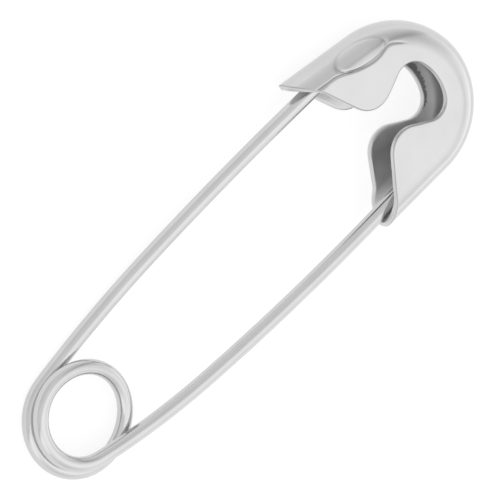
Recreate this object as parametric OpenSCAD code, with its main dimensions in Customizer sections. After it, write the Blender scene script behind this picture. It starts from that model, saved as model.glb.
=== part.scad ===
// Large safety pin of the kilt and blanket type, lying on its back.
// One steel wire makes the fixed arm, the spring coil and the pin arm.
// The clasp head is one folded sheet, hollow and open toward the arms.
// X runs from the coil to the head, Y toward the fixed arm, Z up.
// Plan positions below are measured from the coil, and all parts are
// moved together at the end so that the pin is centred on the origin.

/* [Wire] */
// diameter of the wire
wire_d = 2; // [1.6:0.1:2.2]
// height of the upper turn above the middle of the coil
layer_h = 1.14; // [1.12:0.01:1.2]
// radius of the upper turn
turn_front_r = 6; // [5:0.05:7]
// radius of the first quarter that goes down to the lower turn
turn_down_r = 6.85; // [5:0.05:7.2]
// radius of the second quarter that goes down to the lower turn
turn_under_r = 6.75; // [5:0.05:7.2]
// radius of the lower turn
turn_back_r = 6.75; // [5:0.05:7.2]
// middle of the upper turn, along the pin
turn_front_x = -0.72; // [-1:0.01:1]
// middle of the upper turn, across the pin
turn_front_y = 0.64; // [-1:0.01:1]

/* [Fixed arm] */
// angle at which the fixed arm leaves the coil
fixed_leave = 8.7; // [5:0.1:14]
// length and bend of the half next to the coil
fixed_len_1 = 21.3; // [15:0.1:28]
fixed_bend_1 = 5.6; // [3:0.1:9]
// length and bend of the half next to the head
fixed_len_2 = 30.5; // [20:0.1:34]
fixed_bend_2 = 3.3; // [1:0.1:6]
// level end inside the head
fixed_end = 5.5; // [3:0.5:8]
// turn of the bow out of the plan, which lifts the arm to the head
fixed_lift = 28.5; // [0:0.5:40]

/* [Pin arm] */
// angle at which the pin arm leaves the coil
pin_leave = 12.95; // [12:0.05:13]
// length and bend of the half next to the coil
pin_len_1 = 18.1; // [12:0.1:28]
pin_bend_1 = 9; // [3:0.1:12]
// length and bend of the half next to the head
pin_len_2 = 32; // [20:0.1:34]
pin_bend_2 = 5.3; // [1:0.1:9]
// straight part inside the head, before the taper
pin_end = 4.5; // [1:0.5:8]
// length of the sharpened taper
taper_len = 7; // [4:0.5:10]
// width of the slightly blunted point
point_d = 0.3; // [0.1:0.05:0.5]

/* [Clasp head] */
// thickness of the sheet
sheet_t = 0.8; // [0.5:0.05:1]
// outside radius of the rolled rim, half the depth of the head
rim_r = 3.25; // [2.6:0.05:3.5]
// middle of the nose curve, along the pin
nose_x = 57.9; // [50:0.1:65]
// middle of the nose curve, across the pin
nose_y = 0.06; // [-2:0.01:2]
// radius of the nose curve, at the middle of the rim
nose_r = 7.28; // [6:0.01:10]
// angle where the nose curve passes into the shoulder curve
nose_turn = 16; // [0:0.5:40]
// radius of the shoulder curve, at the middle of the rim
shoulder_r = 9.19; // [8:0.01:13]
// outward slope of the side that holds the fixed arm
flare = 9; // [0:0.5:12]

/* [Openings of the head] */
// middle of the notch's round end, along and across the pin
notch_x = 56.25; // [55.7:0.05:57]
notch_y = 0.75; // [0:0.05:1.5]
// radius of the notch's wide end
notch_r = 6.87; // [6:0.01:8]
// radius of the notch's corner on the fixed side and on the pin side
corner_up_r = 2.69; // [1.5:0.01:3]
corner_low_r = 2.53; // [1.5:0.01:2.8]
// half of the angle between the notch's two corners
corner_a = 22.3; // [18:0.1:28]
// lobe on the fixed side: place along and across the pin, radius
lobe_up_x = 55.05; // [54:0.05:55.8]
lobe_up_y = 6.9; // [6:0.1:8]
lobe_up_r = 3.55; // [2:0.01:4]
// lobe on the pin side: place along and across the pin, radius
lobe_low_x = 54.9; // [54:0.1:55.5]
lobe_low_y = -4.7; // [-6:0.1:-4]
lobe_low_r = 3.5; // [2:0.01:4]
// slope of the mouth's edge on the fixed side
mouth_up_a = 64; // [55:1:70]
// slope of the mouth's edge on the pin side, in the front plate and in the back plate
mouth_low_a = 57; // [50:1:70]
mouth_back_a = 62; // [50:1:70]
// length of the mouth's straight edge on the fixed side and on the pin side
mouth_up_len = 5.7; // [4:0.1:6]
mouth_low_len = 4.1; // [3:0.1:5]
// offset of the back plate's openings from the front plate's
back_dx = -0.2; // [-1:0.05:1]
back_dy = -0.45; // [-1:0.05:1]

/* [Details of the head] */
// depth of the pressed crease beside the channel of the fixed arm
crease_depth = 0.14; // [0.05:0.01:0.3]
// width of the crease
crease_w = 0.5; // [0.3:0.05:0.8]
// radius and middle of the crease below the blank oval
crease_bend_r = 6.5; // [4:0.1:8]
crease_bend_x = 58; // [55:0.1:60]
crease_bend_y = 14.8; // [12:0.1:17]
// angles that the crease covers toward the mouth and toward the nose
crease_turn = 44; // [30:1:60]
crease_fade = 22; // [15:1:30]
// length of the crease's straight part beside the fixed arm
crease_len = 7; // [5:0.5:9]
// slope of the straight part in the plan, and down the rounding
crease_slope = 12.5; // [5:0.5:20]
crease_tilt = 1.2; // [0.5:0.1:2]
// length, width and place of the two inner ribs that grip the fixed arm
grip_len = 3.5; // [2:0.5:6]
grip_w = 1.6; // [1:0.1:2]
grip_x = 51.2; // [50:0.1:53]
// free space between the fixed arm and the ribs
grip_gap = 0.04; // [0.02:0.01:0.1]

/* [Output] */
// node to draw, or all

/* [Hidden] */
$fn = 96;
steel = [0.72, 0.73, 0.75];
plated_sheet = [0.62, 0.63, 0.66];

// sleeve that makes two lengths of wire, or of rim, one solid
sleeve = 0.012;
sleeve_len = 0.3;
sleeve_d = wire_d + 2 * sleeve;

// the half turn that goes down to the lower layer lies in one tilted plane
slope_a = asin(2 * layer_h / (turn_down_r + turn_under_r));
slope_y = turn_front_y + turn_front_r - turn_down_r * cos(slope_a);
slope_z = layer_h - turn_down_r * sin(slope_a);
under_x = turn_front_x + turn_down_r - turn_under_r;
back_y = slope_y - turn_under_r * cos(slope_a) + turn_back_r;

// where the arms leave the coil
fixed_root_x = under_x - turn_back_r * sin(fixed_leave);
fixed_root_y = back_y + turn_back_r * cos(fixed_leave);
pin_root_x = turn_front_x - turn_front_r * sin(pin_leave);
pin_root_y = turn_front_y - turn_front_r * cos(pin_leave);

// far end of the fixed arm's bow, where the level end begins
bow_r1 = fixed_len_1 / (fixed_bend_1 * PI / 180);
bow_r2 = fixed_len_2 / (fixed_bend_2 * PI / 180);
bow_a = fixed_bend_1 + fixed_bend_2;
bow_x = bow_r1 * sin(fixed_bend_1) + bow_r2 * (sin(bow_a) - sin(fixed_bend_1));
bow_y = bow_r1 * (1 - cos(fixed_bend_1)) + bow_r2 * (cos(fixed_bend_1) - cos(bow_a));
bow_in = bow_y * cos(fixed_lift);
tip_x = fixed_root_x + bow_x * cos(fixed_leave) + bow_in * sin(fixed_leave);
tip_y = fixed_root_y + bow_x * sin(fixed_leave) - bow_in * cos(fixed_leave);
tip_z = bow_y * sin(fixed_lift) - layer_h;
tip_a = fixed_leave - atan(tan(bow_a) * cos(fixed_lift));

// shoulder curve and straight sides of the rim
shoulder_x = nose_x - (shoulder_r - nose_r) * cos(nose_turn);
shoulder_y = nose_y - (shoulder_r - nose_r) * sin(nose_turn);
side_x = shoulder_x + shoulder_r * sin(flare);
side_y = shoulder_y + shoulder_r * cos(flare);
side_low_y = nose_y - nose_r;
side_start = 44;
flange = 0.8;
reach = rim_r - sheet_t;

// the flat sheets stand this much out from the rim's flat ends
proud = 0.02;

// the back of the head and the lower turn of the coil lie on one level
head_z = rim_r + proud - layer_h - sleeve_d / 2;

// middle of a notch corner of radius r, at angle a from the notch's middle
function corner_at(r, a) = [notch_x, notch_y] + (notch_r - r) * [cos(a), sin(a)];
near = 0.01;

// ends of the mouth's edge outside the rim, and its bend on the pin side
tip_up = [46.3, 13.95];
tip_low = [46.3, -10.9];
knee_low = [48.6, -8.1];

// overall box, for the common place of all parts
box_x0 = under_x - turn_back_r - wire_d / 2;
box_x1 = nose_x + nose_r + rim_r;
box_y0 = side_low_y - rim_r;
box_y1 = 13.64;
floor_z = -layer_h - sleeve_d / 2;

// put a part in the common place, centred and resting on z = 0
module placed() {
  translate([-(box_x0 + box_x1) / 2, -(box_y0 + box_y1) / 2, -floor_z])
    children();
}

// piece of wire on a circle round the origin, from angle a, over angle w
module wire_arc(r, a, w) {
  rotate([0, 0, a])
    rotate_extrude(angle = w)
      translate([r, 0])
        circle(d = wire_d);
}

// sleeve across a wire that runs along x at the origin
module sleeve_ring() {
  rotate([0, 90, 0])
    cylinder(d = sleeve_d, h = sleeve_len, center = true);
}

// the same sleeve on a circle of radius r, at angle a
module arc_joint(r, a) {
  rotate([0, 0, a])
    translate([r, 0, 0])
      rotate([0, 0, 90])
        sleeve_ring();
}

// wire that starts at the origin along x and bends toward minus y
module wire_bow(len, bend) {
  r = len / (bend * PI / 180);
  translate([0, -r, 0])
    wire_arc(r, 90 - bend, bend);
}

// move to the far end of such a bow
module after_bow(len, bend) {
  r = len / (bend * PI / 180);
  translate([r * sin(bend), -r * (1 - cos(bend)), 0])
    rotate([0, 0, -bend])
      children();
}

module spring_coil() {
  color(steel)
    placed() {
      // upper turn, from the pin arm round the far end to the top
      translate([turn_front_x, turn_front_y, layer_h]) {
        wire_arc(turn_front_r, 90, 180 - pin_leave);
        arc_joint(turn_front_r, 90);
      }
      // two quarters that go down to the lower turn
      translate([turn_front_x, slope_y, slope_z])
        rotate([slope_a, 0, 0])
          wire_arc(turn_down_r, 0, 90);
      translate([under_x, slope_y, slope_z])
        rotate([slope_a, 0, 0]) {
          wire_arc(turn_under_r, -90, 90);
          arc_joint(turn_under_r, 0);
        }
      // lower turn, round the far end to the fixed arm
      translate([under_x, back_y, -layer_h]) {
        wire_arc(turn_back_r, 90 + fixed_leave, 180 - fixed_leave);
        arc_joint(turn_back_r, -90);
      }
    }
}

module fixed_arm() {
  color(steel)
    placed() {
      translate([fixed_root_x, fixed_root_y, -layer_h])
        rotate([0, 0, fixed_leave])
          rotate([-fixed_lift, 0, 0]) {
            wire_bow(fixed_len_1, fixed_bend_1);
            after_bow(fixed_len_1, fixed_bend_1) {
              sleeve_ring();
              wire_bow(fixed_len_2, fixed_bend_2);
            }
          }
      // level end that the head grips
      translate([tip_x, tip_y, tip_z])
        rotate([0, 90, tip_a]) {
          sphere(d = sleeve_d);
          cylinder(d = wire_d, h = fixed_end);
        }
    }
}

// straight end of the pin arm with its sharpened taper
module pin_point() {
  rotate([0, 90, 0])
    rotate_extrude()
      polygon([
        [0, 0],
        [wire_d / 2, 0],
        [wire_d / 2, pin_end],
        [point_d / 2, pin_end + taper_len],
        [0, pin_end + taper_len]
      ]);
}

module pin_arm() {
  color(steel)
    placed()
      translate([pin_root_x, pin_root_y, layer_h])
        rotate([0, 0, -pin_leave])
          mirror([0, 1, 0]) {
            wire_bow(pin_len_1, pin_bend_1);
            after_bow(pin_len_1, pin_bend_1) {
              sleeve_ring();
              wire_bow(pin_len_2, pin_bend_2);
              after_bow(pin_len_2, pin_bend_2) {
                sleeve_ring();
                pin_point();
              }
            }
          }
}

// section of the folded sheet: half a ring and two short flat ends
module rim_section(more = 0) {
  difference() {
    circle(r = rim_r + more);
    circle(r = reach - more);
    translate([-4, -4])
      square([4, 8]);
  }
  for (z = [reach - more, -rim_r - more])
    translate([-flange, z])
      square([flange, sheet_t + 2 * more]);
}

// curved rim round the origin, from angle a, over angle w
module rim_arc(r, a, w) {
  rotate([0, 0, a])
    rotate_extrude(angle = w)
      translate([r, 0])
        rim_section();
}

// straight rim along x, of length l, with its round side toward plus y
module rim_side(l, more = 0) {
  rotate([90, 0, 90])
    linear_extrude(height = l)
      rim_section(more);
}

// short sleeve over the rim where two lengths meet, at angle a
module rim_joint(r, a) {
  rotate([0, 0, a - 90])
    translate([-sleeve_len / 2, r, 0])
      rim_side(sleeve_len, sleeve);
}

// flat area inside the rim, kept a little inside its middle line
module sheet_area() {
  in = flange / 2;
  nose = [for (i = [0 : 12]) -90 + i * (90 + nose_turn) / 12];
  shoulder = [for (i = [1 : 10]) nose_turn + i * (90 - flare - nose_turn) / 10];
  run = side_x - side_start;
  polygon(concat(
    [[side_start, side_low_y + in]],
    [for (a = nose) [nose_x, nose_y] + (nose_r - in) * [cos(a), sin(a)]],
    [for (a = shoulder) [shoulder_x, shoulder_y] + (shoulder_r - in) * [cos(a), sin(a)]],
    [[side_start, side_y - in + run * tan(flare)]]
  ));
}

// straight edge between a lobe at a and a corner at b: its two ends
function edge_ends(a, ra, b, rb, side) =
  let(
    d = norm(b - a),
    turn = atan2(b.y - a.y, b.x - a.x) + side * acos((ra + rb) / d),
    n = [cos(turn), sin(turn)]
  )
  [a + (ra - near) * n, b - (rb - near) * n];

// area between the two lobes and round the notch, open toward the coil,
// with the slope low_a of the mouth's edge on the pin side
module open_area(low_a, move = [0, 0]) {
  up = [lobe_up_x, lobe_up_y] + move;
  low = [lobe_low_x, lobe_low_y] + move;
  corner_up = corner_at(corner_up_r, corner_a) + move;
  corner_low = corner_at(corner_low_r, -corner_a) + move;
  wide = [notch_x, notch_y] + move;
  edge_up = edge_ends(up, lobe_up_r, corner_up, corner_up_r, -1);
  edge_low = edge_ends(low, lobe_low_r, corner_low, corner_low_r, 1);
  mouth_up = up + (lobe_up_r - near) * [-sin(mouth_up_a), -cos(mouth_up_a)];
  mouth_low = low + (lobe_low_r - near) * [-sin(low_a), cos(low_a)];
  difference() {
    polygon([
      [40, 20] + 2 * move,
      tip_up,
      mouth_up + mouth_up_len * [-cos(mouth_up_a), sin(mouth_up_a)],
      mouth_up,
      up,
      edge_up[0],
      edge_up[1],
      corner_up,
      corner_low,
      edge_low[1],
      edge_low[0],
      low,
      mouth_low,
      mouth_low + mouth_low_len * [-cos(low_a), -sin(low_a)],
      knee_low,
      tip_low,
      [40, -17] + 2 * move
    ]);
    translate(up)
      circle(r = lobe_up_r);
    translate(low)
      circle(r = lobe_low_r);
  }
  translate(corner_up)
    circle(r = corner_up_r - near / 2);
  translate(corner_low)
    circle(r = corner_low_r - near / 2);
  intersection() {
    translate(wide)
      circle(r = notch_r);
    polygon([
      wide,
      wide + 12 * [cos(corner_a), -sin(corner_a)],
      wide + 12 * [cos(corner_a), sin(corner_a)]
    ]);
  }
}

// two ribs pressed inward that grip the end of the fixed arm
module grip_ribs() {
  hold = wire_d / 2 + grip_gap;
  over = tip_z - head_z + hold;
  under = tip_z - head_z - hold;
  skin = reach + 0.15;
  translate([grip_x, tip_y - grip_w / 2, over])
    cube([grip_len, grip_w, skin - over]);
  translate([grip_x, tip_y - grip_w / 2, -skin])
    cube([grip_len, grip_w, skin + under]);
}

// pressed line between the fixed arm's channel and the flat sheet
module crease() {
  bend = [crease_bend_x, crease_bend_y];
  start = bend - crease_bend_r * [sin(crease_turn), cos(crease_turn)];
  translate([start.x, start.y, rim_r - 1.5 * crease_depth])
    rotate([0, crease_tilt, 180 - crease_slope])
      translate([0, -crease_w / 2, 0])
        cube([crease_len, crease_w, 1]);
  translate([bend.x, bend.y, rim_r - crease_depth])
    rotate([0, 0, -90 - crease_turn])
      rotate_extrude(angle = crease_turn + crease_fade)
        translate([crease_bend_r - crease_w / 2, 0])
          square([crease_w, 1]);
}

module clasp_head() {
  color(plated_sheet)
    placed()
      translate([0, 0, head_z]) {
        difference() {
          union() {
            translate([side_start, side_low_y, 0])
              mirror([0, 1, 0])
                rim_side(nose_x - side_start);
            translate([nose_x, nose_y, 0]) {
              rim_arc(nose_r, -90, 90 + nose_turn);
              rim_joint(nose_r, -90);
              rim_joint(nose_r, nose_turn);
            }
            translate([shoulder_x, shoulder_y, 0]) {
              rim_arc(shoulder_r, nose_turn, 90 - flare - nose_turn);
              rim_joint(shoulder_r, 90 - flare);
            }
            translate([side_x, side_y, 0])
              rotate([0, 0, -flare])
                mirror([1, 0, 0])
                  rim_side((side_x - side_start) / cos(flare));
            for (z = [reach, -rim_r])
              translate([0, 0, z - proud])
                linear_extrude(height = sheet_t + 2 * proud)
                  sheet_area();
          }
          translate([0, 0, -0.1])
            linear_extrude(height = 5)
              open_area(mouth_low_a);
          translate([0, 0, -5])
            linear_extrude(height = 5)
              open_area(mouth_back_a, [back_dx, back_dy]);
          crease();
        }
        grip_ribs();
      }
}

clasp_head();
fixed_arm();
spring_coil();
pin_arm();
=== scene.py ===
"""Large safety pin of the kilt and blanket type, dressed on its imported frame.

The spring wire is one piece: fixed arm, coil and pin arm. The clasp head is one
folded sheet, hollow and open toward the arms. Sizes are in millimetres, in a plan
whose origin is the middle of the coil: x runs to the head, y toward the fixed arm
and z up. Each finished mesh is moved into the shared frame, in metres.
"""

import logging
import math
from dataclasses import dataclass, field
from enum import Enum

import bpy
import numpy as np
from mathutils import Matrix


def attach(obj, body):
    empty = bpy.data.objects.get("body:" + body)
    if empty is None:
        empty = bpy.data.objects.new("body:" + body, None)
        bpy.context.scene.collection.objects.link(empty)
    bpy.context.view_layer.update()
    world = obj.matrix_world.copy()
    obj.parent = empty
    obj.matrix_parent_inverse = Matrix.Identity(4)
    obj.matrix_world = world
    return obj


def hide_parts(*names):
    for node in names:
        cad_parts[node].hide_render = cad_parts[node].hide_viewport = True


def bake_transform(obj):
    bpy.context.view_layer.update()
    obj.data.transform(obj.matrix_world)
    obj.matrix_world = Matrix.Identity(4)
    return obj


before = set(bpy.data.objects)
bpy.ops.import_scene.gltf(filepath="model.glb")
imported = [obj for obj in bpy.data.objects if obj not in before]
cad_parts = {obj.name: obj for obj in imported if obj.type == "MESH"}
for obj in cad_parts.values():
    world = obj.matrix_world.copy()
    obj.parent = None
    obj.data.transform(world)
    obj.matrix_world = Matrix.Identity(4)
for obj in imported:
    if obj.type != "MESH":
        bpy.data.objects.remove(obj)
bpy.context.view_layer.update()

MM = 0.001
TINY = 1e-9
NOISE_SPAN = (0.3, 0.7)
log = logging.getLogger("safety_pin")


class Side(Enum):
    """The two sheets of the folded head."""

    FRONT = 1
    BACK = -1


class Axis(Enum):
    """The axes that a line is turned round, by the two columns that change."""

    X = (1, 2)
    Z = (0, 1)


def unit(vectors: np.ndarray) -> np.ndarray:
    """Return vectors of length one along the last axis."""
    return vectors / np.maximum(np.linalg.norm(vectors, axis=-1, keepdims=True), TINY)


def ray(angle: float) -> np.ndarray:
    """Return the plan direction at an angle in degrees."""
    return np.array([math.cos(math.radians(angle)), math.sin(math.radians(angle))])


def eased(values: np.ndarray, low: float, high: float) -> np.ndarray:
    """Ease from 0 to 1 between two limits.

    Args:
        values: where the curve is read.
        low: the value at which it leaves 0.
        high: the value at which it reaches 1.

    Returns:
        One number from 0 to 1 for each value.
    """
    share = np.clip((values - low) / (high - low), 0, 1)
    return share * share * (3 - 2 * share)


def bump_at(values: np.ndarray, middle: np.ndarray, reach: float) -> np.ndarray:
    """Return a bell of height one round a middle value."""
    return np.exp(-(((values - middle) / reach) ** 2))


def arc(radius: float, start: float, sweep: float, step: float = 0.25) -> np.ndarray:
    """Draw an arc round the origin in the plan.

    Args:
        radius: its radius.
        start: the angle where it begins, in degrees.
        sweep: the angle that it covers, in degrees.
        step: the distance between two points.

    Returns:
        Points of three numbers each.
    """
    count = max(3, math.ceil(abs(math.radians(sweep)) * radius / step) + 1)
    angle = np.radians(np.linspace(start, start + sweep, count))
    return np.stack([radius * np.cos(angle), radius * np.sin(angle), 0 * angle], axis=1)


def turned(points: np.ndarray, axis: Axis, angle: float) -> np.ndarray:
    """Turn points round an axis through the origin.

    Args:
        points: points of three numbers each.
        axis: the axis.
        angle: the turn in degrees.

    Returns:
        The turned points.
    """
    a, b = axis.value
    cos, sin = ray(angle)
    moved = points.copy()
    moved[:, a] = cos * points[:, a] - sin * points[:, b]
    moved[:, b] = sin * points[:, a] + cos * points[:, b]
    return moved


def run_length(points: np.ndarray) -> np.ndarray:
    """Return the distance along a line of points, from its start to each point."""
    steps = np.linalg.norm(np.diff(points, axis=0), axis=1)
    return np.concatenate([[0], np.cumsum(steps)])


def respaced(points: np.ndarray, places: np.ndarray) -> np.ndarray:
    """Read a line of points at given distances along it.

    Args:
        points: the line.
        places: distances from its start.

    Returns:
        One point for each distance.
    """
    length = run_length(points)
    return np.stack([np.interp(places, length, column) for column in points.T], axis=1)


def softened(points: np.ndarray, spread: float) -> np.ndarray:
    """Round the small kinks of an evenly spaced line and keep its ends.

    Args:
        points: the line.
        spread: how wide the rounding is in points; it reaches three times as far.

    Returns:
        The softened line.
    """
    reach = math.ceil(3 * spread)
    weights = np.exp(-0.5 * (np.arange(-reach, reach + 1) / spread) ** 2)
    weights /= weights.sum()
    before = 2 * points[0] - points[reach:0:-1]
    after = 2 * points[-1] - points[-2:-reach - 2:-1]
    padded = np.vstack([before, points, after])
    return np.stack([np.convolve(c, weights, mode="valid") for c in padded.T], axis=1)


def make_piece(
    name: str, points: np.ndarray, faces: list[tuple[int, ...]], grain: np.ndarray
) -> bpy.types.Object:
    """Make a smooth mesh object in the shared frame.

    Args:
        name: the piece's plain name.
        points: its points in metres.
        faces: its faces.
        grain: four numbers for each point: two lengths along the surface, which the
        finish's grain follows, how much even painted shade it has, and how near it
        lies to a ragged border of painted shade.

    Returns:
        The new object.
    """
    mesh = bpy.data.meshes.new(name)
    mesh.from_pydata(points.tolist(), [], faces)
    mesh.update()
    mesh.shade_smooth()
    corner = np.zeros(len(mesh.loops), np.int32)
    mesh.loops.foreach_get("vertex_index", corner)
    for label, columns in {"grain": [0, 1], "tarnish": [2, 3]}.items():
        layer = mesh.uv_layers.new(name=label)
        layer.data.foreach_set("uv", grain[corner][:, columns].astype(np.float32).ravel())
    piece = bpy.data.objects.new(name, mesh)
    bpy.context.scene.collection.objects.link(piece)
    return piece


class NodeBench:
    """Adds nodes to one node tree and joins them."""

    def __init__(self, tree: bpy.types.NodeTree) -> None:
        """Keep the tree and empty it."""
        self.tree = tree
        tree.nodes.clear()

    def add(self, kind: str, **values: object) -> bpy.types.Node:
        """Add a node.

        Args:
            kind: the node's type name.
            values: settings of the node by name.

        Returns:
            The new node.
        """
        node = self.tree.nodes.new(kind)
        for name, value in values.items():
            setattr(node, name, value)
        return node

    def fill(self, node: bpy.types.Node, **sockets: object) -> bpy.types.Node:
        """Set a node's sockets, with spaces in their names written as underscores.

        Args:
            node: the node.
            sockets: a plain value, or the output that feeds the socket.

        Returns:
            The same node.
        """
        for name, value in sockets.items():
            self.put(node.inputs[name.replace("_", " ")], value)
        return node

    def put(self, socket: bpy.types.NodeSocket, value: object) -> None:
        """Feed one socket.

        Args:
            socket: the socket.
            value: a plain value, or the output that it is joined to.
        """
        if isinstance(value, bpy.types.NodeSocket):
            self.tree.links.new(value, socket)
        else:
            socket.default_value = value

    def noise(
        self, place: bpy.types.NodeSocket, scale: float, detail: float = 3
    ) -> bpy.types.NodeSocket:
        """Add a noise pattern.

        Args:
            place: the coordinates that it follows.
            scale: how fine it is.
            detail: how many finer layers it has.

        Returns:
            The output with the pattern's strength.
        """
        node = self.add("ShaderNodeTexNoise")
        return self.fill(node, Vector=place, Scale=scale, Detail=detail).outputs["Fac"]

    def ranged(
        self,
        value: bpy.types.NodeSocket,
        source: tuple[float, float],
        target: tuple[float, float],
    ) -> bpy.types.NodeSocket:
        """Map a pattern onto a range.

        Args:
            value: the pattern.
            source: the part of its range that is used.
            target: what the two ends of that part become.

        Returns:
            The output with the new range.
        """
        node = self.fill(self.add("ShaderNodeMapRange"), Value=value)
        self.fill(node, From_Min=source[0], From_Max=source[1])
        return self.fill(node, To_Min=target[0], To_Max=target[1]).outputs["Result"]

    def maths(self, operation: str, first: object, second: object) -> bpy.types.NodeSocket:
        """Combine two values.

        Args:
            operation: the name of what is done with them.
            first: the first value or output.
            second: the second value or output.

        Returns:
            The output with the result.
        """
        node = self.add("ShaderNodeMath", operation=operation)
        self.put(node.inputs[0], first)
        self.put(node.inputs[1], second)
        return node.outputs[0]

    def facing(
        self, place: bpy.types.NodeSocket, heading: float, height: float
    ) -> bpy.types.NodeSocket:
        """Compare directions with one direction in the sky.

        Args:
            place: the directions.
            heading: the one direction's heading in degrees.
            height: its height above the horizon in degrees.

        Returns:
            The output with 1 in that direction and -1 opposite to it.
        """
        level, rise = ray(heading), ray(height)
        node = self.add("ShaderNodeVectorMath", operation="DOT_PRODUCT")
        self.put(node.inputs[0], place)
        self.put(node.inputs[1], (rise[0] * level[0], rise[0] * level[1], rise[1]))
        return node.outputs["Value"]

    def blended(
        self,
        share: bpy.types.NodeSocket,
        low: object,
        high: object,
    ) -> bpy.types.NodeSocket:
        """Blend two colours by a pattern.

        Args:
            share: the pattern, from 0 to 1.
            low: the colour at 0, as three numbers or an output.
            high: the colour at 1, as three numbers or an output.

        Returns:
            The output with the colour.
        """
        node = self.add("ShaderNodeMix", data_type="RGBA")
        self.put(node.inputs[0], share)
        for socket, colour in ((node.inputs[6], low), (node.inputs[7], high)):
            self.put(socket, (*colour, 1) if isinstance(colour, tuple) else colour)
        return node.outputs[2]


@dataclass(frozen=True)
class Finish:
    """A finish of one shader, which each kind of finish feeds in its own way."""

    name: str

    def sockets(self, bench: NodeBench, place: bpy.types.NodeSocket) -> dict[str, object]:
        """Return what feeds the shader, by the name of its socket."""
        raise NotImplementedError

    def make(self) -> bpy.types.Material:
        """Set up the material and its nodes.

        Returns:
            The new material.
        """
        material = bpy.data.materials.new(self.name)
        material.use_nodes = True
        bench = NodeBench(material.node_tree)
        place = bench.add("ShaderNodeTexCoord").outputs["Object"]
        shader = bench.fill(bench.add("ShaderNodeBsdfPrincipled"), **self.sockets(bench, place))
        bench.fill(bench.add("ShaderNodeOutputMaterial"), Surface=shader.outputs["BSDF"])
        return material


@dataclass(frozen=True)
class NickelPlate(Finish):
    """Polished nickel on steel, with the fine marks of drawing and tumbling.

    Scales are in cells of the pattern for each metre. The third colour is painted shade,
    which the piece's shade layer lays in the head's crease, on its lips and inside it; its
    dark border is torn by up to ragged and blurred over ragged_edge. The roughness runs
    over rough while the clouds and the brush marks together run over mark_span.
    """

    bright: tuple[float, float, float] = (0.615, 0.615, 0.615)
    dull: tuple[float, float, float] = (0.585, 0.585, 0.585)
    tarnish: tuple[float, float, float] = (0.36, 0.36, 0.36)
    ragged: float = 0.35
    ragged_scale: float = 2400
    ragged_edge: tuple[float, float] = (0.4, 0.6)
    rough: tuple[float, float] = (0.1, 0.16)
    mark_span: tuple[float, float] = (0.55, 1.05)
    cloud_scale: float = 260
    grain_scale: tuple[float, float, float] = (120, 5200, 1)
    brush_share: float = 0.6
    brush_depth: float = 0.012
    pit_scale: float = 2600
    pit_depth: float = 0.02
    bump_height: float = 0.0002

    def colour(
        self, bench: NodeBench, place: bpy.types.NodeSocket, cloud: bpy.types.NodeSocket
    ) -> bpy.types.NodeSocket:
        """Mix the plating's own colour and the painted shade colour.

        Args:
            bench: the bench of the material's node tree.
            place: the place on the piece.
            cloud: the wide soft pattern of the plating.

        Returns:
            The output with the colour.
        """
        unshaded = bench.blended(bench.ranged(cloud, NOISE_SPAN, (0, 1)), self.dull, self.bright)
        # Painted shade: an even share and a ragged dark border, read from the shade layer.
        painted_shading = bench.add("ShaderNodeUVMap", uv_map="tarnish").outputs["UV"]
        depth = bench.fill(bench.add("ShaderNodeSeparateXYZ"), Vector=painted_shading).outputs
        tear = bench.noise(place, self.ragged_scale)
        tear = bench.ranged(tear, NOISE_SPAN, (-self.ragged, self.ragged))
        border = bench.ranged(bench.maths("ADD", depth["Y"], tear), self.ragged_edge, (0, 1))
        return bench.blended(bench.maths("MAXIMUM", depth["X"], border), unshaded, self.tarnish)

    def relief(
        self, bench: NodeBench, place: bpy.types.NodeSocket, brush: bpy.types.NodeSocket
    ) -> bpy.types.NodeSocket:
        """Add the fine brush marks and the small pits.

        Args:
            bench: the bench of the material's node tree.
            place: the place on the piece.
            brush: the pattern of the brush marks.

        Returns:
            The output with the uneven surface's normal.
        """
        fine = bench.add("ShaderNodeBump")
        bench.fill(fine, Strength=self.brush_depth, Distance=self.bump_height, Height=brush)
        pits = bench.noise(place, self.pit_scale, detail=2)
        uneven = bench.add("ShaderNodeBump")
        bench.fill(uneven, Strength=self.pit_depth, Distance=self.bump_height, Height=pits)
        return bench.fill(uneven, Normal=fine.outputs["Normal"]).outputs["Normal"]

    def sockets(self, bench: NodeBench, place: bpy.types.NodeSocket) -> dict[str, object]:
        """Feed the shader.

        Args:
            bench: the bench of the material's node tree.
            place: the place on the piece.

        Returns:
            Values and outputs by the name of their socket.
        """
        grain = bench.add("ShaderNodeUVMap", uv_map="grain").outputs["UV"]
        lines = bench.fill(bench.add("ShaderNodeMapping"), Vector=grain, Scale=self.grain_scale)
        cloud = bench.noise(place, self.cloud_scale, detail=4)
        brush = bench.noise(lines.outputs["Vector"], 1, detail=4)
        marks = bench.maths("ADD", cloud, bench.maths("MULTIPLY", brush, self.brush_share))
        return {
            "Base_Color": self.colour(bench, place, cloud),
            "Metallic": 1.0,
            "Roughness": bench.ranged(marks, self.mark_span, self.rough),
            "Normal": self.relief(bench, place, brush),
        }


@dataclass(frozen=True)
class PaleBoard(Finish):
    """Matt pale board under the pin, which shines a little itself."""

    name: str = "pale_board"
    light: tuple[float, float, float] = (0.23, 0.23, 0.23)
    dark: tuple[float, float, float] = (0.21, 0.21, 0.21)
    cloud_scale: float = 40
    roughness: float = 0.9
    shine: float = 0.82

    def sockets(self, bench: NodeBench, place: bpy.types.NodeSocket) -> dict[str, object]:
        """Feed the shader.

        Args:
            bench: the bench of the material's node tree.
            place: the place on the board.

        Returns:
            Values and outputs by the name of their socket.
        """
        share = bench.ranged(bench.noise(place, self.cloud_scale), NOISE_SPAN, (0, 1))
        return {
            "Base_Color": bench.blended(share, self.dark, self.light),
            "Roughness": self.roughness,
            "Emission_Color": (1, 1, 1, 1),
            "Emission_Strength": self.shine,
        }


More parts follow.
